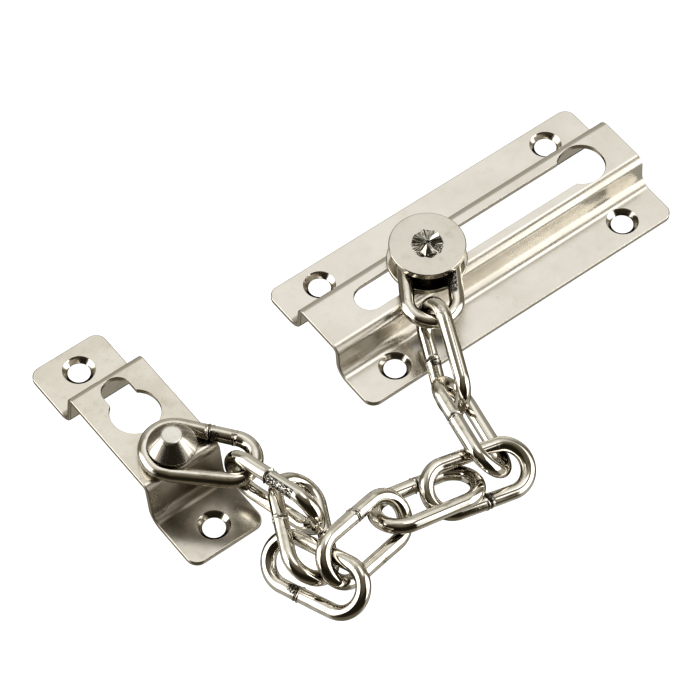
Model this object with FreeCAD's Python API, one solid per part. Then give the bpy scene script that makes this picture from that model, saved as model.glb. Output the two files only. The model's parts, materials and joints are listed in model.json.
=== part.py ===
"""Door chain guard: a slide plate, a slider in its keyhole slot, a ten-link chain and a keeper plate.

Frame: millimetres, +Z up. The origin is the centre of the slide plate's footprint, on its back face.
+X runs along the slot, from its closed end to its keyhole. Both plates' backs lie on Z = 0.
"""
import FreeCAD
import Part
import math
import os

from FreeCAD import Vector

# pressed sheet
sheet_t = 1.2
slide_bend_r_top = 1.6
keeper_bend_r_top = 1.2
bend_r_foot = 3.0
corner_r = 2.5
# countersunk screw holes, 90 degree countersinks
hole_r = 2.35
sink_r = 3.4
# slide plate
slide_len = 80.0
slide_width = 35.5
slide_height = 8.4
slide_web_half = 6.25
slide_foot_half = 6.8
slide_hole_pitch_x = 60.0
slide_hole_pitch_y = 25.4
slot_width = 6.5
slot_end_x = -26.7
keyhole_x = 28.9
keyhole_r = 5.05
# slider
slider_x = -12.0
washer_r = 8.35
cap_r = 7.95
disc_edge = 0.15
washer_t = 1.0
cap_t = 1.5
groove_h = 3.4
link_top_gap = 0.1
running_gap = 0.05
neck_r = 2.4
shoulder_r = 2.9
stud_head_r = 4.7
stud_head_t = 1.6
stake_r = 3.2
stake_h = 0.8
stake_bore_r = 1.9
stake_grooves = 8
stake_groove_start = 0.3
stake_groove_flare = 0.39
stake_groove_depth = 0.85
# chain links
wire_d = 3.1
link_len = 25.4
link_width = 13.1
wire_gap = 0.2
# the last link is opened wider at its rivet end
last_tail_r = 4.95
last_nose_r = 5.75
last_pitch = 11.3
last_heading = 132.0
last_slack = 0.3
# keeper
keeper_x = -81.6
keeper_y = 2.2
keeper_len = 57.5
keeper_width = 17.6
keeper_height = 10.6
keeper_web_half = 13.1
keeper_foot_half = 14.4
keeper_hole_pitch = 46.4
keeper_big_r = 5.2
keeper_big_y = 2.7
keeper_small_r = 3.2
keeper_small_y = 8.95
# keeper rivet
rivet_y = -10.1
rivet_head_r = 5.0
rivet_flat_r = 2.15
rivet_rim_h = 0.4
rivet_cone_h = 3.4
rivet_neck_r = 3.4
rivet_neck_h = 3.5
rivet_shank_r = 1.4
rivet_tail_r = 1.9
rivet_tail_t = 0.8

# The lay of the chain. The first link lies level on the slider's neck.
first_heading = -123.0
first_pull = -0.2
# Each later link: heading of its nose, dip of its nose and roll about its length, in degrees,
# then where the two wires touch, in mm along the wire from the crown's middle: on the link
# before it (its nose crown) and on its own tail crown.
link_lay = [
    ("link_02", -112, 18, 72, -4.0, -1.5),
    ("link_03", -100, 3, -50, -1.5, 7.0),
    ("link_04", 170, -7, -25, 8.0, -6.0),
    ("link_05", 173, -8, 18, -3.5, -12.0),
    ("link_06", -168, -9, -44, 6.5, 4.5),
    ("link_07", 107, 11, -41, -4.5, -12.5),
    ("link_08", 64, -2, 32, -6.0, 13.0),
    ("link_09", 102, 7, 89, -13.5, -5.0),
]

crown_r = (link_width - wire_d) / 2
half_pitch = (link_len - link_width) / 2
web_bottom = slide_height - sheet_t
washer_z = slide_height + running_gap
groove_z = washer_z + washer_t
cap_z = groove_z + groove_h
first_z = cap_z - link_top_gap - wire_d / 2
rivet_x = keeper_x
rivet_yw = keeper_y + rivet_y
head_z = keeper_height + rivet_neck_h
last_z = keeper_height + rivet_neck_h / 2


def path_side(points, radii, offset):
    """Edges along one side of a bent sheet, whose mid line follows the points in the YZ plane."""
    edges = []
    at = None
    for i in range(len(points) - 1):
        along = (points[i + 1] - points[i]).normalize()
        normal = Vector(0, -along.z, along.y)
        start = points[i] + normal * offset if at is None else at
        if i == len(points) - 2:
            edges.append(Part.makeLine(start, points[-1] + normal * offset))
            break
        after = (points[i + 2] - points[i + 1]).normalize()
        half = (math.pi - along.getAngle(after)) / 2
        reach = radii[i] / math.tan(half)
        centre = points[i + 1] + (after - along).normalize() * (radii[i] / math.sin(half))
        into = points[i + 1] - along * reach + normal * offset
        after_normal = Vector(0, -after.z, after.y)
        out = points[i + 1] + after * reach + after_normal * offset
        toward = (points[i + 1] - centre).normalize()
        mid = centre + toward * (into - centre).Length
        edges.append(Part.makeLine(start, into))
        edges.append(Part.Arc(into, mid, out).toShape())
        at = out
    return edges


def bent_sheet(points, radii, width):
    """A sheet of constant thickness following the points, centred on X = 0."""
    left = path_side(points, radii, sheet_t / 2)
    right = path_side(points, radii, -sheet_t / 2)
    ends = []
    for k in (0, -1):
        a = left[k].Vertexes[0 if k == 0 else -1].Point
        b = right[k].Vertexes[0 if k == 0 else -1].Point
        ends.append(Part.makeLine(a, b))
    wire = Part.Wire(Part.__sortEdges__(left + right + ends))
    solid = Part.Face(wire).extrude(Vector(width, 0, 0))
    solid.translate(Vector(-width / 2, 0, 0))
    return solid


def hat_points(length, height, web_half, foot_half):
    """Mid-line points of a raised web between two flanges, across Y."""
    low = sheet_t / 2
    high = height - sheet_t / 2
    half = length / 2
    pairs = [
        (-half, low),
        (-foot_half, low),
        (-web_half, high),
        (web_half, high),
        (foot_half, low),
        (half, low),
    ]
    return [Vector(0, y, z) for y, z in pairs]


def round_corners(solid, half_x, half_y):
    """Round the four upright corner edges of a plate."""
    edges = []
    for edge in solid.Edges:
        c = edge.CenterOfMass
        upright = abs(edge.BoundBox.ZLength - sheet_t) < 1e-6 and edge.BoundBox.YLength < 1e-6
        if upright and abs(abs(c.x) - half_x) < 1e-6 and abs(abs(c.y) - half_y) < 1e-6:
            edges.append(edge)
    return solid.makeFillet(corner_r, edges)


def screw_hole(x, y):
    """Cutter for one countersunk hole."""
    depth = sink_r - hole_r
    bore = Part.makeCylinder(hole_r, sheet_t + 2, Vector(x, y, -1))
    sink = Part.makeCone(hole_r, sink_r + 1, depth + 1, Vector(x, y, sheet_t - depth))
    return bore.fuse(sink)


def slot_cutter(x0, x1, half, z0, z1):
    """A straight slot along X with round ends."""
    bar = Part.makeBox(x1 - x0, 2 * half, z1 - z0, Vector(x0, -half, z0))
    ends = [Part.makeCylinder(half, z1 - z0, Vector(x, 0, z0)) for x in (x0, x1)]
    return bar.fuse(ends)


def make_slide_plate():
    points = hat_points(slide_width, slide_height, slide_web_half, slide_foot_half)
    radii = [bend_r_foot, slide_bend_r_top, slide_bend_r_top, bend_r_foot]
    plate = bent_sheet(points, radii, slide_len)
    plate = round_corners(plate, slide_len / 2, slide_width / 2)
    z0 = web_bottom - 2
    z1 = slide_height + 2
    slot = slot_cutter(slot_end_x, keyhole_x, slot_width / 2, z0, z1)
    keyhole = Part.makeCylinder(keyhole_r, z1 - z0, Vector(keyhole_x, 0, z0))
    cutters = [slot, keyhole]
    for sx in (-1, 1):
        for sy in (-1, 1):
            cutters.append(screw_hole(sx * slide_hole_pitch_x / 2, sy * slide_hole_pitch_y / 2))
    return plate.cut(cutters)


def disc(radius, bore, thick, z):
    """A round disc with a bore and softened rims."""
    solid = Part.makeCylinder(radius, thick, Vector(slider_x, 0, z))
    rims = [e for e in solid.Edges if abs(e.Length - 2 * math.pi * radius) < 1e-6]
    solid = solid.makeChamfer(disc_edge, rims)
    return solid.cut(Part.makeCylinder(bore, thick + 2, Vector(slider_x, 0, z - 1)))


def make_slider_washer():
    return disc(washer_r, neck_r + running_gap, washer_t, washer_z)


def make_slider_cap():
    return disc(cap_r, stake_bore_r, cap_t, cap_z)


def turned(profile, x, y):
    """Revolve a list of (radius, z) corners about the upright axis through x, y."""
    points = [Vector(x + r, y, z) for r, z in profile]
    face = Part.Face(Part.makePolygon(points + [points[0]]))
    return face.revolve(Vector(x, y, 0), Vector(0, 0, 1), 360)


def make_slider_stud():
    head_top = web_bottom - running_gap
    head_bottom = head_top - stud_head_t
    shoulder_top = slide_height + running_gap / 2
    cap_top = cap_z + cap_t
    profile = [
        (0, head_bottom),
        (stud_head_r - 0.4, head_bottom),
        (stud_head_r, head_bottom + 0.4),
        (stud_head_r, head_top),
        (shoulder_r, head_top),
        (shoulder_r, shoulder_top),
        (neck_r, shoulder_top),
        (neck_r, cap_z),
        (stake_bore_r, cap_z),
        (stake_bore_r, cap_top),
        (stake_r, cap_top),
        (stake_r - 0.15, cap_top + stake_h),
        (0, cap_top + stake_h),
    ]
    stud = turned(profile, slider_x, 0)
    grooves = [star_groove(k * 360 / stake_grooves, cap_top + stake_h) for k in range(stake_grooves)]
    return stud.cut(grooves)


def star_groove(angle, top):
    """Cutter for one V groove of the staked end: it widens and deepens from the middle outwards."""
    tip = Vector(stake_groove_start, 0, 0)
    reach = stake_r + 0.5
    half = reach * stake_groove_flare
    left = Vector(reach, -half, 0)
    right = Vector(reach, half, 0)
    low = Vector(reach, 0, -stake_groove_depth)
    faces = [
        Part.Face(Part.makePolygon([tip, left, right, tip])),
        Part.Face(Part.makePolygon([tip, left, low, tip])),
        Part.Face(Part.makePolygon([tip, right, low, tip])),
        Part.Face(Part.makePolygon([left, right, low, left])),
    ]
    groove = Part.Solid(Part.Shell(faces))
    groove.rotate(Vector(0, 0, 0), Vector(0, 0, 1), angle)
    groove.translate(Vector(slider_x, 0, top))
    return groove


def crown_path(tail_r, nose_r, half):
    """Closed centre line of a link in its own XY plane: nose crown at +X, tail crown at -X."""
    lean = math.asin((tail_r - nose_r) / (2 * half))
    edges = []
    ends = []
    for x, r, side in ((half, nose_r, 1), (-half, tail_r, -1)):
        c = Vector(x, 0, 0)
        a = Vector(r * math.sin(lean), -r * math.cos(lean), 0)
        b = Vector(r * math.sin(lean), r * math.cos(lean), 0)
        edges.append(Part.Arc(c + a, c + Vector(side * r, 0, 0), c + b).toShape())
        ends.append((c + a, c + b))
    edges.append(Part.makeLine(ends[0][0], ends[1][0]))
    edges.append(Part.makeLine(ends[0][1], ends[1][1]))
    return Part.Wire(Part.__sortEdges__(edges))


def wire_link(tail_r, nose_r, half):
    """Round wire swept round the link's centre line."""
    path = crown_path(tail_r, nose_r, half)
    start = path.OrderedVertexes[0].Point
    first = path.OrderedEdges[0]
    tangent = first.tangentAt(first.getParameterByLength(0))
    if (first.valueAt(first.FirstParameter) - start).Length > 1e-6:
        tangent = first.tangentAt(first.LastParameter)
    ring = Part.Wire(Part.makeCircle(wire_d / 2, start, tangent))
    return path.makePipeShell([ring], True, True)


def turn(heading, dip, roll):
    """Rotation of a link from its heading, the dip of its nose and its roll."""
    return FreeCAD.Rotation(Vector(0, 0, 1), heading).multiply(
        FreeCAD.Rotation(Vector(0, 1, 0), dip).multiply(FreeCAD.Rotation(Vector(1, 0, 0), roll))
    )


def seat(along, end):
    """Point, tangent and inward normal on a link's centre line, near its nose (1) or tail (-1)."""
    quarter = crown_r * math.pi / 2
    side = 1 if along > 0 else -1
    if abs(along) <= quarter:
        a = along / crown_r
        point = Vector(end * (half_pitch + crown_r * math.cos(a)), crown_r * math.sin(a), 0)
        tangent = Vector(-end * math.sin(a), math.cos(a), 0)
        inward = Vector(-end * math.cos(a), -math.sin(a), 0)
    else:
        point = Vector(end * (half_pitch - abs(along) + quarter), side * crown_r, 0)
        tangent = Vector(-end * side, 0, 0)
        inward = Vector(0, -side, 0)
    return point, tangent, inward


def place_first():
    rotation = turn(first_heading, 0, 0)
    centre = Vector(slider_x, 0, first_z) + rotation.multVec(Vector(half_pitch + first_pull, 0, 0))
    return FreeCAD.Placement(centre, rotation)


def place_last():
    rotation = turn(last_heading, 0, 0)
    reach = last_pitch / 2 + last_slack
    centre = Vector(rivet_x, rivet_yw, last_z) - rotation.multVec(Vector(reach, 0, 0))
    return FreeCAD.Placement(centre, rotation)


def hang(before, lay):
    """Placement of a link that touches the link before it with the wires wire_gap apart."""
    heading, dip, roll, on_before, on_own = lay
    rotation = turn(heading, dip, roll)
    point, tangent, inward = seat(on_before, 1)
    own_point, own_tangent, own_inward = seat(on_own, -1)
    point = before.multVec(point)
    tangent = before.Rotation.multVec(tangent)
    inward = before.Rotation.multVec(inward)
    own_tangent = rotation.multVec(own_tangent)
    own_inward = rotation.multVec(own_inward)
    apart = tangent.cross(own_tangent).normalize()
    if apart.dot(inward - own_inward) < 0:
        apart = apart * -1
    centre = point + apart * (wire_d + wire_gap) - rotation.multVec(own_point)
    return FreeCAD.Placement(centre, rotation)


def chain_places():
    """Name and placement of every link, from the slider to the keeper."""
    places = [("link_01", place_first())]
    for name, *lay in link_lay:
        places.append((name, hang(places[-1][1], lay)))
    places.append(("link_10", place_last()))
    return places


def make_links():
    plain = wire_link(crown_r, crown_r, half_pitch)
    last = wire_link(last_tail_r, last_nose_r, last_pitch / 2)
    links = {}
    for name, place in chain_places():
        solid = (last if name == "link_10" else plain).copy()
        solid.Placement = place
        links[name] = solid
    return links


def make_keeper_plate():
    points = hat_points(keeper_len, keeper_height, keeper_web_half, keeper_foot_half)
    radii = [bend_r_foot, keeper_bend_r_top, keeper_bend_r_top, bend_r_foot]
    plate = bent_sheet(points, radii, keeper_width)
    plate = round_corners(plate, keeper_width / 2, keeper_len / 2)
    z0 = keeper_height - sheet_t - 2
    deep = sheet_t + 4
    big = Part.makeCylinder(keeper_big_r, deep, Vector(0, keeper_big_y, z0))
    small = Part.makeCylinder(keeper_small_r, deep, Vector(0, keeper_small_y, z0))
    run = keeper_small_y - keeper_big_y
    neck = Part.makeBox(2 * keeper_small_r, run, deep, Vector(-keeper_small_r, keeper_big_y, z0))
    shank = Part.makeCylinder(rivet_shank_r, deep, Vector(0, rivet_y, z0))
    cutters = [big, small, neck, shank]
    for side in (-1, 1):
        cutters.append(screw_hole(0, side * keeper_hole_pitch / 2))
    plate = plate.cut(cutters)
    plate.translate(Vector(keeper_x, keeper_y, 0))
    return plate


def make_keeper_rivet():
    web_low = keeper_height - sheet_t
    top = head_z + rivet_rim_h + rivet_cone_h
    profile = [
        (0, web_low - rivet_tail_t),
        (rivet_tail_r - 0.3, web_low - rivet_tail_t),
        (rivet_tail_r, web_low - rivet_tail_t + 0.3),
        (rivet_tail_r, web_low),
        (rivet_shank_r, web_low),
        (rivet_shank_r, keeper_height),
        (rivet_neck_r, keeper_height),
        (rivet_neck_r, head_z),
        (rivet_head_r - 0.15, head_z),
        (rivet_head_r, head_z + 0.15),
        (rivet_head_r, head_z + rivet_rim_h),
        (rivet_flat_r + 0.25, top - 0.15),
        (rivet_flat_r, top),
        (0, top),
    ]
    return turned(profile, rivet_x, rivet_yw)


def build():
    parts = {
        "slide_plate": make_slide_plate(),
        "slider_washer": make_slider_washer(),
        "slider_stud": make_slider_stud(),
        "slider_cap": make_slider_cap(),
    }
    parts.update(make_links())
    parts["keeper_plate"] = make_keeper_plate()
    parts["keeper_rivet"] = make_keeper_rivet()
    return parts


def main():
    os.makedirs("parts", exist_ok=True)
    for name, shape in build().items():
        shape.exportStep("parts/" + name + ".step")


if __name__ == "__main__":
    main()
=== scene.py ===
"""Looks of the door chain guard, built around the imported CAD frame. Metres, +Z up."""

import json
import math

import bmesh
import bpy
import numpy as np
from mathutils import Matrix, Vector

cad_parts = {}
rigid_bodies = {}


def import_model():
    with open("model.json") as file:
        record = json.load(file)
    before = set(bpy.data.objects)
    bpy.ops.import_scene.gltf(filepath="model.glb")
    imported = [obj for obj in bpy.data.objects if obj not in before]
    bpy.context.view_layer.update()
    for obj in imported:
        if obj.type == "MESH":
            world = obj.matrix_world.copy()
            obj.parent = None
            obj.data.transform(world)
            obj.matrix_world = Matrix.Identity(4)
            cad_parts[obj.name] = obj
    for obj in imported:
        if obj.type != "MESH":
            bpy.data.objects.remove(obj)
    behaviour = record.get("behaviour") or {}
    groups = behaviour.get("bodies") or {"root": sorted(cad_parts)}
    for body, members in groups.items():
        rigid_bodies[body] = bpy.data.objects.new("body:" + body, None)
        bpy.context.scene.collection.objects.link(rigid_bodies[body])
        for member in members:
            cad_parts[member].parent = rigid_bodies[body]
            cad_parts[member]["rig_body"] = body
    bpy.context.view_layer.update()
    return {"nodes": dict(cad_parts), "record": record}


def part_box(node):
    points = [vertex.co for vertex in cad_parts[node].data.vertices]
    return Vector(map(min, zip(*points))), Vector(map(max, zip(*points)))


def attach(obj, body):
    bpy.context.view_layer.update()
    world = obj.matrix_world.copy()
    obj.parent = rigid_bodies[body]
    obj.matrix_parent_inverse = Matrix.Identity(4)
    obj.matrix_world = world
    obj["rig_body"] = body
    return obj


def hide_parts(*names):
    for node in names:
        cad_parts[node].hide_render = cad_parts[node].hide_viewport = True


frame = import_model()

MM = 0.001
# camera
VIEW_AZIMUTH = math.radians(-37.375)
VIEW_ELEVATION = math.radians(55.605)
VIEW_DISTANCE = 745.43 * MM
VIEW_TARGET = Vector((-34.426, -3.443, 0)) * MM
VIEW_LENS = 187.96
SENSOR = 36.0
# rounding of the sheared and turned edges
SHEET_EDGE = 0.26 * MM
SLOT_EDGE = 0.14 * MM
SINK_EDGE = 0.07 * MM
DISC_EDGE = 0.1 * MM
STAKE_EDGE = 0.04 * MM
RIVET_EDGE = 0.12 * MM
# how far a countersink reaches from its middle, and how near to a plate's sides and to its
# rounded corners an edge still belongs to the outline
SINK_REACH = 3.9 * MM
OUTLINE_REACH = 1.2 * MM
CORNER_REACH = 2.6 * MM
# welding of the CAD mesh's seams and merging of its flat faces
SEAM = 0.002 * MM
FLAT_ANGLE = math.radians(0.2)
# punched star in the slider's stud: its depth, the length above which an edge is split, how far
# its corners are pushed about, and how dark a facet may be
STAR_DEPTH = 0.9 * MM
STAR_CELL = 0.7 * MM
STAR_CRUMPLE = 0.1 * MM
STAR_SHADES = (0.0, 0.0, 0.0, 0.5, 0.95)
# the keeper's rivet: rounding between its cone and flat top, depth of the cone, and a small pit
# in the cone, from the middle of the top
RIVET_CROWN_EDGE = 0.3 * MM
RIVET_CONE = 3.0 * MM
RIVET_PIT = Vector((2.5, 1.3, 0)) * MM
RIVET_CROWN_RINGS = 5
RIVET_CROWN_CUTS = 7
# width of the keeper's near flange, up to the middle of its foot bend
KEEPER_FLANGE = 14.3 * MM
# chain wire: radius, rings along a link, points round a ring, and the rings packed at a weld with
# their reach and the place they take among the even rings
WIRE_R = 1.55 * MM
RINGS = 200
RING_POINTS = 44
WELD_RINGS = 61
WELD_REACH = 1.6 * MM
WELD_CLEAR = 1.65 * MM
WELD_SCALE_REACH = 0.9 * MM
# how far round the wire the scraped strip lies from the side that faces the camera, in radians
SCRAPE_TURN = -0.5
# Which leg of each link holds its weld, seen with the link's nose ahead and its face to the
# camera (+1 left, -1 right), how far in mm the weld sits from the leg's middle, and how far in mm
# a scraped strip runs on from it towards the nose (negative: towards the tail).
WELDS = {
    "link_01": (1, -3.0, 9.0),
    "link_02": (-1, -1.0, 2.5),
    "link_03": (-1, -1.5, 0.0),
    "link_04": (1, 0.0, -2.0),
    "link_05": (-1, -0.5, 0.0),
    "link_06": (-1, -0.5, 0.0),
    "link_07": (1, 2.0, 3.0),
    "link_08": (1, 1.5, 0.0),
    "link_09": (-1, 0.5, -9.0),
    "link_10": (-1, 0.0, -3.0),
}
LINKS = len(WELDS)
# colours of painted shade on sloping faces, of grime and painted crevice shade, of stains, of
# painted crevice shade on the wire, of weld scale and of matt shade on the metal
SLOPE_SHADE = (0.36, 0.305, 0.21)
GRIME_AND_SHADE = (0.165, 0.135, 0.09)
WIRE_STAIN = (0.3, 0.26, 0.195)
WIRE_CREVICE_SHADE = (0.06, 0.05, 0.036)
WELD_SCALE = (0.05, 0.042, 0.03)
DEEP_SHADE = (0.012, 0.01, 0.008, 1)
BURNT_PIT = (0.02, 0.016, 0.012, 1)
# half the width of the table, and how far it lies under the plates' flat backs
TABLE_HALF = 1.5
TABLE_DROP = 0.02 * MM
# soft lamps over the far side of the table: turn from the camera's side and height, strength,
# and the angles from their middles at which they start and reach full strength
LAMPS = [
    (math.radians(126), math.radians(71), 1.5, math.radians(17), math.radians(10)),
    (math.radians(-118), math.radians(54), 0.62, math.radians(30), math.radians(15)),
]
# tints of the tent's light where it is dim, middling and bright
DIM_TINT = (1, 0.84, 0.55)
MIDDLE_TINT = (1, 0.97, 0.87)
BRIGHT_TINT = (1, 0.995, 0.965)


def toward_camera():
    """Unit vector from the object to the camera."""
    flat = math.cos(VIEW_ELEVATION)
    return Vector((
        math.sin(VIEW_AZIMUTH) * flat,
        -math.cos(VIEW_AZIMUTH) * flat,
        math.sin(VIEW_ELEVATION),
    ))


# ---------------------------------------------------------------- node helpers


def node(tree, kind, settings=None, **inputs):
    """Add a node; inputs are values or sockets, named as the node names them with _ for space."""
    made = tree.nodes.new(kind)
    for key, value in (settings or {}).items():
        setattr(made, key, value)
    for key, value in inputs.items():
        name = key.replace("_", " ")
        socket = made.inputs[int(name[2:])] if name.startswith("at") else made.inputs[name]
        if isinstance(value, bpy.types.NodeSocket):
            tree.links.new(value, socket)
        else:
            socket.default_value = value
    return made


def calc(tree, operation, a, b=0.0, clamp=False):
    """Result of a math node on two values or sockets."""
    made = node(tree, "ShaderNodeMath", {"operation": operation, "use_clamp": clamp}, at0=a, at1=b)
    return made.outputs[0]


def add(tree, a, b):
    return calc(tree, "ADD", a, b)


def times(tree, a, b):
    return calc(tree, "MULTIPLY", a, b)


def greater(tree, a, b):
    return calc(tree, "MAXIMUM", a, b)


def layered(tree, base, *layers):
    """base plus every layer times its share, from (layer, share) pairs."""
    total = base
    for layer, share in layers:
        total = add(tree, total, times(tree, layer, share))
    return total


def vector_calc(tree, operation, a, b=(0, 0, 0)):
    """Result of a vector math node: a number for LENGTH and DOT_PRODUCT, else a vector."""
    made = node(tree, "ShaderNodeVectorMath", {"operation": operation}, at0=a, at1=b)
    return made.outputs["Value" if operation in ("LENGTH", "DOT_PRODUCT") else "Vector"]


def attribute(tree, name):
    return node(tree, "ShaderNodeAttribute", {"attribute_name": name})


def ramp(tree, value, low, high, to_low=0.0, to_high=1.0):
    """Smooth step of value between low and high."""
    made = node(
        tree,
        "ShaderNodeMapRange",
        {"interpolation_type": "SMOOTHSTEP"},
        Value=value,
        From_Min=low,
        From_Max=high,
        To_Min=to_low,
        To_Max=to_high,
    )
    return made.outputs["Result"]


def noise(tree, coords, size, detail=2.0, rough=0.5, seed=0.0, stretch=(1, 1, 1), turn=(0, 0, 0)):
    """Noise between 0 and 1 whose features are about size metres across."""
    mapping = node(tree, "ShaderNodeMapping", None, Vector=coords)
    mapping.inputs["Scale"].default_value = stretch
    mapping.inputs["Rotation"].default_value = turn
    mapping.inputs["Location"].default_value = (seed, seed * 0.37, seed * 0.71)
    made = node(
        tree,
        "ShaderNodeTexNoise",
        None,
        Vector=mapping.outputs[0],
        Scale=1 / size,
        Detail=detail,
        Roughness=rough,
    )
    return made.outputs["Fac"]


def blend_colour(tree, fac, a, b):
    """Mix of two colours or colour sockets: a where fac is 0, b where it is 1."""
    made = node(tree, "ShaderNodeMix", {"data_type": "RGBA"})
    tree.links.new(fac, made.inputs[0])
    for index, value in ((6, a), (7, b)):
        if isinstance(value, bpy.types.NodeSocket):
            tree.links.new(value, made.inputs[index])
        else:
            made.inputs[index].default_value = (*value, 1)
    return made.outputs[2]


def hairlines(tree, coords, size, along, turn, seed, width=0.012):
    """Thin long scratches: the places where a stretched noise crosses its middle value."""
    field = noise(tree, coords, size, 1.0, 0.4, seed, (1, along, 1), (0, 0, turn))
    near = calc(tree, "ABSOLUTE", calc(tree, "SUBTRACT", field, 0.5))
    line = ramp(tree, near, width, 0.0)
    patch = noise(tree, coords, size * 3, 1.0, 0.5, seed + 5)
    return times(tree, line, ramp(tree, patch, 0.56, 0.66))


def small_pits(tree, coords):
    """Round pinholes in patches, 1 in a pit."""
    cells = node(tree, "ShaderNodeTexVoronoi", None, Vector=coords, Scale=1 / (2.4 * MM))
    hole = ramp(tree, cells.outputs["Distance"], 0.07, 0.03)
    patch = noise(tree, coords, 6 * MM, 1.0, 0.5, 8.0)
    return times(tree, hole, ramp(tree, patch, 0.52, 0.6))


def crevices(tree, reach):
    """1 deep in the crevices between neighbouring surfaces, 0 in the open: ambient occlusion, the
    mask for painted shade.
    """
    made = node(tree, "ShaderNodeAmbientOcclusion", {"samples": 6}, Distance=reach)
    return ramp(tree, made.outputs["AO"], 0.72, 0.15)


def bent_part(tree):
    """1 on sloping faces such as a pressed plate's walls, 0 on level ones."""
    normal = node(tree, "ShaderNodeNewGeometry").outputs["True Normal"]
    upright = node(tree, "ShaderNodeSeparateXYZ", None, Vector=normal).outputs["Z"]
    return ramp(tree, calc(tree, "ABSOLUTE", upright), 0.99, 0.9)


# ---------------------------------------------------------------- materials


def start_metal(name):
    """A new material, its node tree and the coordinates of the piece it is on."""
    material = bpy.data.materials.new(name)
    material.use_nodes = True
    tree = material.node_tree
    tree.nodes["Principled BSDF"].inputs["Metallic"].default_value = 1.0
    return material, tree, node(tree, "ShaderNodeTexCoord").outputs["Object"]


def finish_metal(tree, colour, rough, bump, shade=None, shade_colour=DEEP_SHADE):
    """Wire up a metal's colour, roughness and bump node, and mix in a matt shade by its weight."""
    shader = tree.nodes["Principled BSDF"]
    tree.links.new(colour, shader.inputs["Base Color"])
    tree.links.new(rough, shader.inputs["Roughness"])
    tree.links.new(bump.outputs[0], shader.inputs["Normal"])
    if shade is None:
        return
    matt = node(tree, "ShaderNodeBsdfDiffuse", None, Color=shade_colour).outputs[0]
    mix = node(tree, "ShaderNodeMixShader", None, Fac=shade, at1=shader.outputs[0], at2=matt)
    tree.links.new(mix.outputs[0], tree.nodes["Material Output"].inputs[0])


def plated(name, light, dark, roughness, wear, dirt_and_shade=None, marks=None, shadow=None):
    """Nickel plate over pressed steel: cloudy sheen, fine grain, hairline scratches, small pits.

    light and dark are its clean and stained colours, and wear says how strongly it is stained.
    dirt_and_shade(tree, coords) gives more grime and painted shade, marks(tree, coords) more
    height, and shadow(tree) the weight of the parts painted in deep shade. Crevices and sloping
    faces always get painted shade.
    """
    material, tree, coords = start_metal(name)
    cloud = noise(tree, coords, 11 * MM, 3.0, 0.6, 0.3)
    stain = noise(tree, coords, 3 * MM, 4.0, 0.65, 1.7)
    speckle = noise(tree, coords, 0.9 * MM, 3.0, 0.6, 3.6)
    grain = noise(tree, coords, 0.22 * MM, 3.0, 0.6, 2.9)
    lines_a = hairlines(tree, coords, 2.6 * MM, 0.12, 0.7, 4.1)
    lines_b = hairlines(tree, coords, 2.1 * MM, 0.10, -1.1, 6.3)
    lines = greater(tree, lines_a, lines_b)
    pits = small_pits(tree, coords)
    slope = bent_part(tree)
    # painted shade in crevices, from ambient occlusion, joined by the extra grime and painted shade
    # passed in
    grime_and_shade = times(tree, crevices(tree, 3 * MM), 0.75)
    if dirt_and_shade is not None:
        grime_and_shade = greater(tree, grime_and_shade, dirt_and_shade(tree, coords))

    stained = ramp(tree, stain, 0.5, 0.78, 0.0, wear)
    shade = add(tree, ramp(tree, cloud, 0.35, 0.7, 0.0, 0.5), stained)
    shade = add(tree, shade, ramp(tree, speckle, 0.55, 0.75, 0.0, 0.6 * wear))
    shade = calc(tree, "ADD", shade, times(tree, pits, 0.6), clamp=True)
    colour = blend_colour(tree, shade, light, dark)
    # painted shade: sloping faces are tinted a darker tan
    colour = blend_colour(tree, times(tree, slope, 0.28), colour, SLOPE_SHADE)
    # grime mixed with painted crevice shade
    colour = blend_colour(tree, grime_and_shade, colour, GRIME_AND_SHADE)

    rough = layered(
        tree, ramp(tree, cloud, 0.3, 0.7, roughness * 0.85, roughness * 1.15),
        (lines, 0.06), (ramp(tree, stain, 0.5, 0.8), 0.1 * wear), (grime_and_shade, 0.16), (slope, 0.06),
    )
    streaks = times(tree, noise(tree, coords, 0.4 * MM, 2.0, 0.6, 12.5, (0.04, 1, 1)), slope)
    height = layered(
        tree, times(tree, grain, 0.25),
        (lines, -0.12), (streaks, 2.2), (pits, -0.8), (stain, 0.5 * wear), (speckle, 0.5 * wear),
    )
    if marks is not None:
        height = add(tree, height, marks(tree, coords))
    bump = node(tree, "ShaderNodeBump", None, Height=height, Distance=0.012 * MM, Strength=0.5)
    finish_metal(tree, colour, rough, bump, shadow(tree) if shadow is not None else None)
    return material


def distance_to(tree, coords, point, squash=(1, 1, 1)):
    """Distance from a point, with each axis scaled by squash."""
    away = vector_calc(tree, "SUBTRACT", coords, tuple(point))
    return vector_calc(tree, "LENGTH", vector_calc(tree, "MULTIPLY", away, squash))


def keeper_foot():
    """Left and right ends of the bend between the keeper's near wall and near flange."""
    low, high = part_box("keeper_plate")
    y = low.y + KEEPER_FLANGE
    return Vector((low.x, y, low.z)), Vector((high.x, y, low.z))


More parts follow.
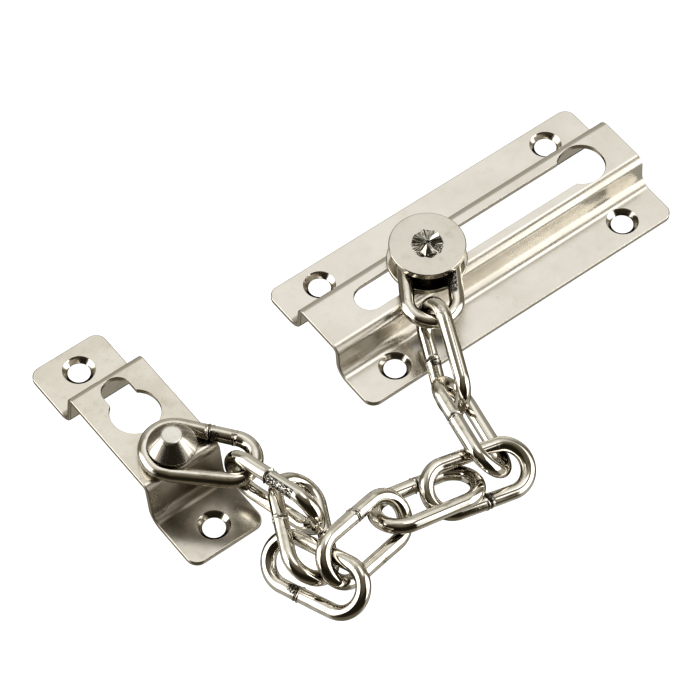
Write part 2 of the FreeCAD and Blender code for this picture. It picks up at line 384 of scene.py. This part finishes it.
def rub_and_foot_shade(tree, coords):
    """Brown rub tarnish round the rivet and along the near foot, and painted shade at the foot's
    right end.
    """
    rivet_low, rivet_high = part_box("keeper_rivet")
    rivet = (rivet_low + rivet_high) / 2
    _, right = keeper_foot()
    beside = right + Vector((0, -2.6, 1.2)) * MM
    ragged = times(tree, noise(tree, coords, 2.2 * MM, 3.0, 0.6, 9.1), 3 * MM)
    near_rivet = add(tree, distance_to(tree, coords, rivet), ragged)
    near_line = add(tree, distance_to(tree, coords, beside, (0, 1, 1)), ragged)
    near_foot = add(tree, distance_to(tree, coords, right, (0.62, 1, 1)), ragged)
    round_rivet = ramp(tree, near_rivet, 8.5 * MM, 5 * MM, 0.0, 0.4)
    along_line = ramp(tree, near_line, 5.5 * MM, 2 * MM, 0.0, 0.65)
    # painted shade: a broad dark patch over the right end of the near foot
    painted_foot_shade = ramp(tree, near_foot, 14 * MM, 5 * MM, 0.0, 0.85)
    return greater(tree, greater(tree, round_rivet, along_line), painted_foot_shade)


def tool_marks(tree, coords):
    """A short row of press-tool marks at the left end of the keeper's near foot."""
    left, _ = keeper_foot()
    away = distance_to(tree, coords, left + Vector((3.0, 0.6, 1.4)) * MM, (1, 1.8, 0.8))
    wave = node(
        tree, "ShaderNodeTexWave", {"bands_direction": "X"},
        Vector=coords, Scale=1 / (2.2 * MM), Distortion=3.0, Detail=2.0, Detail_Scale=2.0,
    )
    mark = ramp(tree, wave.outputs["Fac"], 0.6, 0.9)
    return times(tree, times(tree, mark, ramp(tree, away, 3.0 * MM, 1.2 * MM)), 26.0)


def shaded_below(tree):
    """Dark where a countersink mirrors the shaded table under the plate."""
    mirrored = node(tree, "ShaderNodeTexCoord").outputs["Reflection"]
    upward = node(tree, "ShaderNodeSeparateXYZ", None, Vector=mirrored).outputs["Z"]
    return ramp(tree, upward, -0.05, -0.3)


def rivet_stains(tree, coords):
    """Dark streaks down the rivet's cone and one small pit on it."""
    low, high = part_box("keeper_rivet")
    centre = (low + high) / 2
    away = vector_calc(tree, "SUBTRACT", coords, tuple(centre))
    flat = vector_calc(tree, "MULTIPLY", away, (1, 1, 0))
    spoke = vector_calc(tree, "NORMALIZE", flat)
    streaks = ramp(tree, noise(tree, spoke, 0.12, 3.0, 0.6, 4.4), 0.45, 0.65, 0.0, 0.7)
    on_cone = ramp(tree, vector_calc(tree, "LENGTH", flat), 1.6 * MM, 2.4 * MM)
    pit_middle = Vector((centre.x, centre.y, high.z)) + RIVET_PIT
    pit_away = distance_to(tree, coords, pit_middle, (1, 1, 0.3))
    return greater(tree, times(tree, streaks, on_cone), ramp(tree, pit_away, 0.5 * MM, 0.3 * MM))


def facet_shade(tree):
    """Some facets of the punched star look down into its grooves and stay dark."""
    return attribute(tree, "facet_shade").outputs["Fac"]


def star_groove_shade(tree, coords):
    """Painted shade at the bottom of the punched star's grooves, from ambient occlusion."""
    return times(tree, crevices(tree, 1.3 * MM), 0.95)


def turned_rings(name):
    """Fine rings round the upright axis of a node, as a tool in a lathe leaves them."""
    low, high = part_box(name)
    centre = (low + high) / 2

    def rings(tree, coords):
        away = distance_to(tree, coords, centre, (1, 1, 0))
        wobble = times(tree, noise(tree, coords, 1.5 * MM, 2.0, 0.5, 5.5), 0.25 * MM)
        place = node(tree, "ShaderNodeCombineXYZ", None, X=add(tree, away, wobble)).outputs[0]
        return times(tree, noise(tree, place, 0.16 * MM, 2.0, 0.6, 2.2), 2.2)

    return rings


def wire_metal(name):
    """Bright nickel on drawn wire: drawing marks, patches of tarnish and scale at the weld."""
    material, tree, coords = start_metal(name)
    scale = attribute(tree, "weld_scale").outputs["Fac"]
    scrape = attribute(tree, "scrape").outputs["Fac"]
    along = attribute(tree, "wire_place").outputs["Vector"]
    tarnish = noise(tree, coords, 4.5 * MM, 4.0, 0.62, 3.3)
    specks = noise(tree, coords, 0.5 * MM, 3.0, 0.6, 7.7)
    stains = noise(tree, along, 2.2 * MM, 4.0, 0.65, 9.7, (0.45, 1, 1))
    drawn = noise(tree, along, 0.5 * MM, 2.0, 0.5, 1.1, (0.05, 1, 1))
    pits = ramp(tree, noise(tree, coords, 0.34 * MM, 3.0, 0.65, 3.9), 0.36, 0.56)
    pitted = times(tree, ramp(tree, scrape, 0.25, 0.6), pits)
    rubbed = times(tree, ramp(tree, tarnish, 0.58, 0.7), ramp(tree, specks, 0.42, 0.62))
    rubbed = greater(tree, rubbed, times(tree, scale, ramp(tree, specks, 0.4, 0.6)))
    dull = greater(tree, times(tree, rubbed, 0.6), times(tree, pitted, 0.9))

    clean = blend_colour(
        tree, ramp(tree, tarnish, 0.42, 0.72), (0.86, 0.825, 0.76), (0.66, 0.615, 0.53)
    )
    colour = blend_colour(tree, ramp(tree, stains, 0.56, 0.74, 0.0, 0.75), clean, WIRE_STAIN)
    colour = blend_colour(tree, dull, colour, WELD_SCALE)
    # painted shade in the crevices between links, from ambient occlusion
    colour = blend_colour(tree, times(tree, crevices(tree, 2.2 * MM), 0.94), colour, WIRE_CREVICE_SHADE)

    rough = layered(tree, ramp(tree, tarnish, 0.3, 0.75, 0.05, 0.13), (dull, 0.35))
    height = layered(tree, times(tree, drawn, 0.35), (rubbed, -0.7), (pitted, -0.8))
    bump = node(tree, "ShaderNodeBump", None, Height=height, Distance=0.02 * MM, Strength=0.6)
    finish_metal(tree, colour, rough, bump, times(tree, pitted, 0.85), BURNT_PIT)
    return material


# ---------------------------------------------------------------- pieces


def clean_solid(name):
    """Bmesh of a CAD node, welded along its seams, with flat faces merged."""
    source = frame["nodes"][name].data
    shape = bmesh.new()
    points = [shape.verts.new(v.co) for v in source.vertices]
    for polygon in source.polygons:
        shape.faces.new([points[i] for i in polygon.vertices])
    bmesh.ops.remove_doubles(shape, verts=shape.verts, dist=SEAM)
    bmesh.ops.dissolve_limit(
        shape, angle_limit=FLAT_ANGLE, verts=shape.verts, edges=shape.edges
    )
    return shape


def round_edges(shape, radius, chosen=None, sharpest=28, steps=3):
    """Round the edges whose faces meet at more than the given angle, and whose middle is chosen."""
    limit = math.radians(sharpest)
    edges = []
    for edge in shape.edges:
        if len(edge.link_faces) != 2 or edge.calc_face_angle() <= limit:
            continue
        if chosen is None or chosen((edge.verts[0].co + edge.verts[1].co) / 2):
            edges.append(edge)
    bmesh.ops.bevel(
        shape, geom=edges, offset=radius, segments=steps, profile=0.5,
        affect="EDGES", clamp_overlap=True, harden_normals=False,
    )


def screw_holes():
    """x and y of every countersunk hole, worked out from the record's bolt patterns."""
    centres = []
    for mount in frame["record"]["mounts"]:
        if mount["kind"] != "bolt_pattern":
            continue
        x, y, _ = mount["pos_m"]
        half_x = mount["dims"].get("spacing_x_mm", 0) * MM / 2
        half_y = mount["dims"].get("spacing_y_mm", 0) * MM / 2
        for sx in sorted({-half_x, half_x}):
            for sy in (-half_y, half_y):
                centres.append((x + sx, y + sy))
    return centres


def near_screw_hole(point):
    return any(math.hypot(point.x - x, point.y - y) < SINK_REACH for x, y in screw_holes())


def on_outline(point, low, high):
    """True near the sides and the rounded corners of a plate between low and high."""
    across = min(abs(point.x - low.x), abs(point.x - high.x))
    along = min(abs(point.y - low.y), abs(point.y - high.y))
    return min(across, along) < OUTLINE_REACH or max(across, along) < CORNER_REACH


def make_plate(node_name, piece_name, material, bright):
    """A pressed plate: broad rolled edges, crisper slot, crisp bright countersinks."""
    shape = clean_solid(node_name)
    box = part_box(node_name)
    round_edges(
        shape, SHEET_EDGE, lambda p: on_outline(p, *box) and not near_screw_hole(p), steps=4
    )
    round_edges(
        shape, SLOT_EDGE, lambda p: not near_screw_hole(p) and not on_outline(p, *box), sharpest=40
    )
    round_edges(shape, SINK_EDGE, near_screw_hole, sharpest=32, steps=2)
    piece = finish_piece(shape, piece_name, node_name, material)
    piece.data.materials.append(bright)
    for polygon in piece.data.polygons:
        if near_screw_hole(polygon.center) and 0.3 < polygon.normal.z < 0.92:
            polygon.material_index = 1
    keep_flats_flat(piece)
    return piece


def finish_piece(shape, name, node_name, material):
    """Turn a bmesh into a smooth-shaded piece that stands for a CAD node and rides on its body."""
    mesh = bpy.data.meshes.new(name)
    shape.to_mesh(mesh)
    shape.free()
    for polygon in mesh.polygons:
        polygon.use_smooth = True
    mesh.materials.append(material)
    piece = bpy.data.objects.new(name, mesh)
    bpy.context.scene.collection.objects.link(piece)
    return stand_for(piece, node_name)


def stand_for(piece, node_name):
    """Put a piece in the place of a CAD node, on the node's body."""
    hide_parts(node_name)
    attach(piece, frame["nodes"][node_name]["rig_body"])
    return piece


def keep_flats_flat(piece):
    """Shade the large faces flat and let only the small rounded ones turn."""
    modifier = piece.modifiers.new("flat_faces", "WEIGHTED_NORMAL")
    modifier.weight = 100
    modifier.keep_sharp = True


def make_solid_piece(node_name, piece_name, radius, material):
    """A CAD solid with its edges rounded."""
    shape = clean_solid(node_name)
    round_edges(shape, radius)
    piece = finish_piece(shape, piece_name, node_name, material)
    keep_flats_flat(piece)
    return piece


def make_stud(material):
    """The slider's stud: the star struck into its head is crumpled, as a punch leaves it."""
    shape = clean_solid("slider_stud")
    round_edges(shape, STAKE_EDGE)
    star_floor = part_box("slider_cap")[1].z - STAR_DEPTH
    rng = np.random.default_rng(7)
    shade = shape.faces.layers.float.new("facet_shade")
    struck = [
        f for f in shape.faces if f.calc_center_median().z > star_floor and f.normal.z > 0.1
    ]
    for face in struck:
        face[shade] = rng.choice(STAR_SHADES)
    edges = list({e for f in struck for e in f.edges if e.calc_length() > STAR_CELL})
    bmesh.ops.subdivide_edges(shape, edges=edges, cuts=1, use_grid_fill=True)
    bmesh.ops.triangulate(shape, faces=[f for f in shape.faces if len(f.verts) > 4])
    for vert in shape.verts:
        if vert.co.z > star_floor:
            vert.co += Vector(rng.uniform(-1, 1, 3) * STAR_CRUMPLE)
    piece = finish_piece(shape, "staked_stud", "slider_stud", material)
    for polygon in piece.data.polygons:
        polygon.use_smooth = polygon.center.z < star_floor
    return piece


def make_rivet(material):
    """The keeper's rivet: its cone runs softly into the flat top."""
    shape = clean_solid("keeper_rivet")
    low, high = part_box("keeper_rivet")
    middle_x, middle_y = (low.x + high.x) / 2, (low.y + high.y) / 2

    def reach(p):
        return math.hypot(p.x - middle_x, p.y - middle_y)

    def mid_z(face):
        return face.calc_center_median().z

    cone = [f for f in shape.faces if 0.2 < f.normal.z < 0.98 and mid_z(f) > high.z - RIVET_CONE]
    flat = max(shape.faces, key=lambda f: mid_z(f) + f.normal.z)
    flat_r = max(reach(v.co) for v in flat.verts)
    rim_z = min(v.co.z for f in cone for v in f.verts)
    rim_r = max(reach(v.co) for f in cone for v in f.verts)
    fall = (high.z - rim_z) / (rim_r - flat_r)
    round_edges(shape, RIVET_EDGE, lambda p: p.z < high.z - 0.3 * MM)
    # rings on the flat top and cuts through the cone give the rounding its points
    top = [f for f in shape.faces if f.normal.z > 0.999 and mid_z(f) > high.z - 0.01 * MM]
    for _ in range(RIVET_CROWN_RINGS):
        bmesh.ops.inset_region(shape, faces=top, thickness=flat_r / (RIVET_CROWN_RINGS + 2))
    for step in range(1, RIVET_CROWN_CUTS + 1):
        level = (0, 0, high.z - step * RIVET_CROWN_EDGE * 0.25)
        whole = shape.verts[:] + shape.edges[:] + shape.faces[:]
        bmesh.ops.bisect_plane(shape, geom=whole, plane_co=level, plane_no=(0, 0, 1))
    for vert in shape.verts:
        slope_z = high.z - (reach(vert.co) - flat_r) * fall
        near = max(RIVET_CROWN_EDGE - abs(slope_z - high.z), 0)
        if vert.co.z > high.z - 2 * RIVET_CROWN_EDGE:
            vert.co.z = min(slope_z, high.z) - near ** 2 / (4 * RIVET_CROWN_EDGE)
    return finish_piece(shape, "cone_rivet", "keeper_rivet", material)


# ---------------------------------------------------------------- chain links


def mesh_points(name):
    """Every vertex of a CAD node, one row each."""
    data = frame["nodes"][name].data
    flat = np.zeros(len(data.vertices) * 3)
    data.vertices.foreach_get("co", flat)
    return flat.reshape(-1, 3)


def middle(name):
    """Middle of a CAD node's box."""
    low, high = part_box(name)
    return np.array((low + high) / 2)


def link_axes(name, before, after):
    """Centre and axes of a link: x towards its nose, z out of its face on the camera's side."""
    mesh = frame["nodes"][name].data
    mesh.calc_loop_triangles()
    points = mesh_points(name)
    corners = points[np.array([t.vertices[:] for t in mesh.loop_triangles])]
    cross = np.cross(corners[:, 1] - corners[:, 0], corners[:, 2] - corners[:, 0])
    area = np.linalg.norm(cross, axis=1)
    mids = corners.mean(1)
    centre = (mids * area[:, None]).sum(0) / area.sum()
    offset = mids - centre
    spread = (offset * area[:, None]).T @ offset
    _, vectors = np.linalg.eigh(spread)
    z = vectors[:, 0]
    x = vectors[:, 2]
    if x @ (after - before) < 0:
        x = -x
    if z @ np.array(toward_camera()) < 0:
        z = -z
    y = np.cross(z, x)
    local = (points - centre) @ np.array([x, y, z]).T
    return centre, np.array([x, y, z]), local


def link_shape(local):
    """Tail radius, nose radius, tail centre and nose centre of the wire's centre line, along x."""
    low, high = local[:, 0].min(), local[:, 0].max()
    nose_r = np.abs(local[local[:, 0] > (low + high) / 2, 1]).max() - WIRE_R
    quarter = low + (high - low) * 0.25
    tail_r = np.abs(local[local[:, 0] < quarter, 1]).max() - WIRE_R
    return tail_r, nose_r, low + WIRE_R + tail_r, high - WIRE_R - nose_r


def centre_line(tail_r, nose_r, tail_x, nose_x, weld_side, weld_at):
    """Rings round the link, packed close together at the weld: their places along the centre
    line, the weld's place, the line's length, and each ring's middle and outward normal."""
    lean = math.asin((tail_r - nose_r) / (nose_x - tail_x))
    leg = (nose_x - tail_x) * math.cos(lean)
    nose_arc = nose_r * (math.pi + 2 * lean)
    tail_arc = tail_r * (math.pi - 2 * lean)
    total = 2 * leg + nose_arc + tail_arc
    weld_s = leg / 2 + weld_at if weld_side < 0 else leg * 1.5 + nose_arc - weld_at
    even = np.linspace(0, total, RINGS, endpoint=False)
    near = weld_s + np.linspace(-1, 1, WELD_RINGS) ** 3 * WELD_REACH
    places = np.unique(np.concatenate([even[np.abs(even - weld_s) > WELD_CLEAR], near]))
    rows = [line_at(s, tail_r, nose_r, tail_x, nose_x, lean, leg, nose_arc) for s in places]
    return places, weld_s, total, np.array([r[0] for r in rows]), np.array([r[1] for r in rows])


def line_at(s, tail_r, nose_r, tail_x, nose_x, lean, leg, nose_arc):
    """Point and outward normal of the centre line at length s: right leg, nose, left leg, tail."""
    if s < leg:
        out = np.array([math.sin(lean), -math.cos(lean), 0])
        start = np.array([tail_x, 0, 0]) + out * tail_r
        end = np.array([nose_x, 0, 0]) + out * nose_r
        return start + (end - start) * (s / leg), out
    if s < leg + nose_arc:
        angle = -math.pi / 2 + lean + (s - leg) / nose_r
        out = np.array([math.cos(angle), math.sin(angle), 0])
        return np.array([nose_x, 0, 0]) + out * nose_r, out
    if s < 2 * leg + nose_arc:
        out = np.array([math.sin(lean), math.cos(lean), 0])
        start = np.array([nose_x, 0, 0]) + out * nose_r
        end = np.array([tail_x, 0, 0]) + out * tail_r
        return start + (end - start) * ((s - leg - nose_arc) / leg), out
    angle = math.pi / 2 - lean + (s - 2 * leg - nose_arc) / tail_r
    out = np.array([math.cos(angle), math.sin(angle), 0])
    return np.array([tail_x, 0, 0]) + out * tail_r, out


def hump(place, width):
    """Smooth bell of height 1 over place 0."""
    return np.exp(-((place / width) ** 2))


def weld_radius(away, angles, seen, rng):
    """Change of the wire's radius near the butt weld: an uneven notch, deepest on the seen side,
    between low lips, with a burr, and the two wire ends slightly out of line."""
    facing = 0.5 + 0.5 * np.cos(angles - seen - rng.uniform(-1, 1))
    wander = 0.2 * MM * np.cos(2 * angles + rng.uniform(0, 2 * math.pi))
    place = away[:, None] - wander[None, :]
    notch = -(0.04 + 0.42 * facing ** 2) * MM * hump(place, 0.14 * MM)
    lips = (0.04 + 0.1 * (1 - facing)) * MM * hump(np.abs(place) - 0.42 * MM, 0.2 * MM)
    waves = sum(
        rng.uniform(0.3, 1.0) * np.cos(k * angles + rng.uniform(0, 2 * math.pi))
        for k in (2, 3, 5, 7)
    )
    burr = np.clip(waves / 2.2, 0, None) * 0.26 * MM * hump(place - 0.33 * MM, 0.16 * MM)
    step = 0.07 * MM * np.tanh(place / (0.2 * MM)) * hump(place, 2.2 * MM)
    return notch + lips + burr + step * np.cos(angles - seen + rng.uniform(-1, 1))


def scrape_weight(run, length, angles, seen):
    """Weight of the dark scraped strip that runs on from the weld on the wire's seen side."""
    fade = np.clip(run / (0.3 * MM), 0, 1) * np.clip((length - run) / (2 * MM), 0, 1)
    turn = np.cos(angles - seen + SCRAPE_TURN)
    return fade[:, None] * np.clip((turn - 0.62) / 0.25, 0, 1)[None, :]


def tube_faces(rings, points):
    """Four-sided faces of a closed tube, from its number of rings and of points in a ring."""
    faces = []
    for i in range(rings):
        j = (i + 1) % rings
        for k in range(points):
            m = (k + 1) % points
            faces.append((i * points + k, j * points + k, j * points + m, i * points + m))
    return faces


def make_link(index, material):
    """A link of drawn wire with its butt weld, fitted to the CAD link of the same number."""
    name = f"link_{index:02d}"
    before = middle("slider_stud" if index == 1 else f"link_{index - 1:02d}")
    after = middle("keeper_rivet" if index == LINKS else f"link_{index + 1:02d}")
    centre, axes, local = link_axes(name, before, after)
    tail_r, nose_r, tail_x, nose_x = link_shape(local)
    side, at, scraped = WELDS[name]
    places, weld_s, total, line, out = centre_line(
        tail_r, nose_r, tail_x, nose_x, side, at * MM
    )
    rng = np.random.default_rng(100 + index)
    angles = np.linspace(0, 2 * math.pi, RING_POINTS, endpoint=False)
    away = places - weld_s
    seen = facing_angle(axes, out[np.argmin(np.abs(away))])
    radius = WIRE_R + weld_radius(away, angles, seen, rng)
    sway = np.sin(places / total * 2 * math.pi * 3 + rng.uniform(0, 6))
    radius = radius + 0.02 * MM * sway[:, None]
    up = np.array([0, 0, 1.0])
    ring = np.cos(angles)[None, :, None] * out[:, None, :] + np.sin(angles)[None, :, None] * up
    points = line[:, None, :] + ring * radius[:, :, None]
    world = points.reshape(-1, 3) @ axes + centre
    mesh = bpy.data.meshes.new(f"wire_{name}")
    mesh.from_pydata(world.tolist(), [], tube_faces(len(places), RING_POINTS))
    for polygon in mesh.polygons:
        polygon.use_smooth = True
    scale = np.repeat(hump(away, WELD_SCALE_REACH), RING_POINTS)
    run = -away * side * math.copysign(1, scraped)
    scrape = scrape_weight(run, abs(scraped) * MM, angles, seen)
    store_attributes(mesh, scale, scrape, places, angles)
    mesh.materials.append(material)
    piece = bpy.data.objects.new(f"wire_{name}", mesh)
    bpy.context.scene.collection.objects.link(piece)
    return stand_for(piece, name)


def facing_angle(axes, out):
    """Angle round the wire that faces the camera, where the wire's outward normal is out."""
    camera = axes @ np.array(toward_camera())
    return math.atan2(camera[2], camera @ out)


def store_attributes(mesh, scale, scrape, places, angles):
    """Weld-scale and scrape weights and place along and round the wire, for the material."""
    layer = mesh.attributes.new("weld_scale", "FLOAT", "POINT")
    layer.data.foreach_set("value", scale.astype(np.float32))
    layer = mesh.attributes.new("scrape", "FLOAT", "POINT")
    layer.data.foreach_set("value", scrape.astype(np.float32).ravel())
    along = np.repeat(places, len(angles))
    round_x = np.tile(np.cos(angles), len(places)) * WIRE_R
    round_y = np.tile(np.sin(angles), len(places)) * WIRE_R
    place = np.stack([along, round_x, round_y], 1).astype(np.float32)
    layer = mesh.attributes.new("wire_place", "FLOAT_VECTOR", "POINT")
    layer.data.foreach_set("vector", place.ravel())


# ---------------------------------------------------------------- stage


def make_floor():
    """Pale table, seen by the camera only: the metal reflects the lower half of the light tent."""
    mesh = bpy.data.meshes.new("table_top")
    corners = [(-1, -1), (1, -1), (1, 1), (-1, 1)]
    points = [(x * TABLE_HALF, y * TABLE_HALF, -TABLE_DROP) for x, y in corners]
    mesh.from_pydata(points, [], [(0, 1, 2, 3)])
    floor = bpy.data.objects.new("table_top", mesh)
    bpy.context.scene.collection.objects.link(floor)
    material = bpy.data.materials.new("table_white")
    material.use_nodes = True
    tree = material.node_tree
    tree.nodes.clear()
    seen = node(tree, "ShaderNodeLightPath").outputs["Is Camera Ray"]
    clear = node(tree, "ShaderNodeBsdfTransparent").outputs[0]
    faint = node(tree, "ShaderNodeBsdfDiffuse", None, Color=(0.12, 0.12, 0.12, 1)).outputs[0]
    glow = node(tree, "ShaderNodeEmission", None, Color=(1, 1, 1, 1), Strength=0.93).outputs[0]
    bright = node(tree, "ShaderNodeAddShader", None, at0=faint, at1=glow).outputs[0]
    mix = node(tree, "ShaderNodeMixShader", None, Fac=seen, at1=clear, at2=bright).outputs[0]
    node(tree, "ShaderNodeOutputMaterial", None, Surface=mix)
    mesh.materials.append(material)


def tent_light(tree, height, turn):
    """Strength of the light tent without its lamps.

    height is the sine of a direction's rise, and turn its angle from the camera's side.
    """

    def band(value, low, high, to_low=0.0, to_high=1.0):
        return ramp(tree, value, low, high, to_low, to_high)

    def mix(fac, a, b):
        return add(tree, times(tree, a, calc(tree, "SUBTRACT", 1.0, fac)), times(tree, b, fac))

    # nearly dark front, a little brighter overhead and towards the table
    front = add(tree, band(height, 0.5, 0.97, 0.021, 0.15), band(height, -0.12, -0.6, 0.0, 0.12))
    # bright card on each side, before a dim wall that is darker high up
    card = times(tree, band(height, -0.16, -0.04), band(height, 0.77, 0.68))
    card = greater(tree, times(tree, card, 2.3), band(height, 0.2, 0.3, 0.4, 0.2))
    # back wall, brighter straight behind and high up, fading under the table
    wall = add(tree, band(turn, 2.2, 2.8, 0.17, 0.44), band(height, 0.56, 0.81, 0.0, 0.42))
    wall = times(tree, wall, band(height, -0.65, -0.3, 0.12, 1.0))
    # the front widens towards its top
    edge = layered(tree, turn, (greater(tree, height, 0.0), -0.3))
    light = mix(band(edge, 0.85, 1.05), front, card)
    light = mix(band(turn, 1.75, 2.05), light, wall)
    return mix(band(height, 0.95, 0.995), light, 0.3)


def make_world():
    """Light tent round the object: white cards at the sides, a back wall, a dark front, lamps."""
    world = bpy.data.worlds.new("light_tent")
    bpy.context.scene.world = world
    world.use_nodes = True
    tree = world.node_tree
    direction = node(tree, "ShaderNodeTexCoord").outputs["Generated"]
    back = toward_camera()
    flat_back = Vector((back.x, back.y, 0)).normalized()
    side = Vector((0, 0, 1)).cross(flat_back)

    def dot(axis):
        return vector_calc(tree, "DOT_PRODUCT", direction, tuple(axis))

    turn = calc(tree, "ABSOLUTE", calc(tree, "ARCTAN2", dot(side), dot(flat_back)))
    light = tent_light(tree, dot((0, 0, 1)), turn)
    for turned, raised, strength, wide, narrow in LAMPS:
        flat = flat_back * math.cos(turned) + side * math.sin(turned)
        lamp = dot(flat * math.cos(raised) + Vector((0, 0, math.sin(raised))))
        glow = ramp(tree, lamp, math.cos(wide), math.cos(narrow), 0.0, strength)
        light = greater(tree, light, glow)
    tint = blend_colour(tree, ramp(tree, light, 0.02, 0.35), DIM_TINT, MIDDLE_TINT)
    tint = blend_colour(tree, ramp(tree, light, 0.35, 1.0), tint, BRIGHT_TINT)
    background = tree.nodes["Background"]
    tree.links.new(tint, background.inputs["Color"])
    tree.links.new(light, background.inputs["Strength"])


def make_camera():
    """The camera that frames the object."""
    data = bpy.data.cameras.new("camera")
    data.lens = VIEW_LENS
    data.sensor_width = SENSOR
    camera = bpy.data.objects.new("camera", data)
    bpy.context.scene.collection.objects.link(camera)
    back = toward_camera()
    camera.location = VIEW_TARGET + back * VIEW_DISTANCE
    camera.rotation_mode = "QUATERNION"
    camera.rotation_quaternion = (-back).to_track_quat("-Z", "Y")
    bpy.context.scene.camera = camera


def main():
    satin = plated("satin_nickel_plate", (0.80, 0.77, 0.715), (0.73, 0.695, 0.63), 0.22, 0.3)
    keeper_satin = plated(
        "satin_nickel_worn", (0.77, 0.735, 0.67), (0.62, 0.575, 0.495), 0.22, 0.6,
        dirt_and_shade=rub_and_foot_shade, marks=tool_marks,
    )
    polished = plated("polished_nickel_disc", (0.70, 0.67, 0.61), (0.61, 0.575, 0.505), 0.12, 0.9)
    turned = plated(
        "bright_nickel_turned", (0.86, 0.82, 0.76), (0.64, 0.60, 0.53), 0.1, 0.4,
        shadow=shaded_below,
    )
    rivet = plated(
        "bright_nickel_rivet", (0.80, 0.78, 0.73), (0.56, 0.53, 0.47), 0.17, 0.6,
        dirt_and_shade=rivet_stains, marks=turned_rings("keeper_rivet"),
    )
    bright = plated(
        "bright_nickel_stake", (0.9, 0.875, 0.83), (0.72, 0.68, 0.6), 0.04, 0.1,
        dirt_and_shade=star_groove_shade, shadow=facet_shade,
    )
    wire = wire_metal("bright_nickel_wire")
    make_plate("slide_plate", "pressed_slide_plate", satin, turned)
    make_plate("keeper_plate", "pressed_keeper_plate", keeper_satin, turned)
    make_solid_piece("slider_washer", "lower_disc", DISC_EDGE, polished)
    make_solid_piece("slider_cap", "upper_disc", DISC_EDGE, polished)
    make_stud(bright)
    make_rivet(rivet)
    for index in range(1, LINKS + 1):
        make_link(index, wire)
    make_floor()
    make_world()
    make_camera()
    view = bpy.context.scene.view_settings
    view.view_transform = "Standard"
    view.look = "Medium High Contrast"


main()
bpy.context.view_layer.update()
